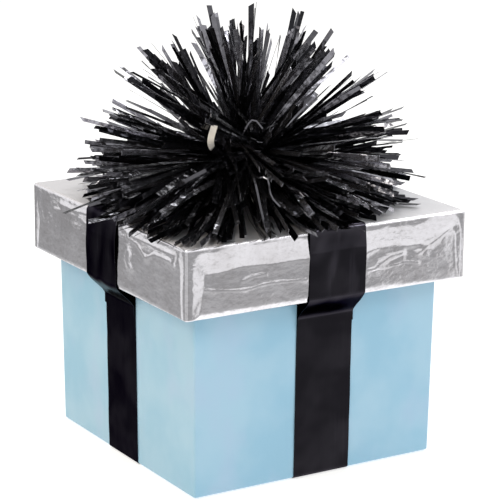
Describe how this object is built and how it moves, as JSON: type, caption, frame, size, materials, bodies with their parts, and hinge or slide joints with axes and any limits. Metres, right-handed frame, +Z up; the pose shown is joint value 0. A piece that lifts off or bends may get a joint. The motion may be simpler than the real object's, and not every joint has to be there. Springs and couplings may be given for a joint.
{
  "type": "gift box",
  "caption": "Small square gift box with a lift-off silver film lid, pale blue sides, black ribbon bands and a tinsel burst bow on top.",
  "frame": {"origin": "middle of the underside of the base, on the surface that the box stands on", "axes": "+Z up, -Y towards the front face, +X towards the right face"},
  "size_m": [0.0812, 0.0816, 0.096],
  "materials": {
    "greyboard": "matte",
    "stay_paper": "matte",
    "blue_film": "satin",
    "silver_film": "gloss",
    "white_paper": "matte",
    "white_card": "satin",
    "black_ribbon": "satin",
    "black_tinsel": "gloss",
    "foam_pad": "matte",
    "tie_wire": "satin"
  },
  "bodies": {
    "base": {"base_board": "greyboard", "base_corner_stays": "stay_paper", "base_wrap": "blue_film", "base_lining": "white_paper", "underside_sheet": "white_paper", "base_ribbon_front": "black_ribbon", "base_ribbon_back": "black_ribbon", "base_ribbon_left": "black_ribbon", "base_ribbon_right": "black_ribbon"},
    "lid": {"lid_board": "greyboard", "lid_corner_stays": "stay_paper", "lid_wrap": "silver_film", "lid_lining": "white_paper", "lid_ribbon_front_back": "black_ribbon", "lid_ribbon_left_right": "black_ribbon", "bow_glue_pad": "foam_pad", "bow_card_disc": "white_card", "bow_wire_tie": "tie_wire", "bow_lower_fringe": "black_tinsel", "bow_middle_fringe": "black_tinsel", "bow_upper_fringe": "black_tinsel"}
  },
  "joints": [
    {"name": "lid_lift", "type": "slide", "parent": "base", "child": "lid", "axis": [0, 0, 1], "range_m": [0, 0.07]}
  ]
}
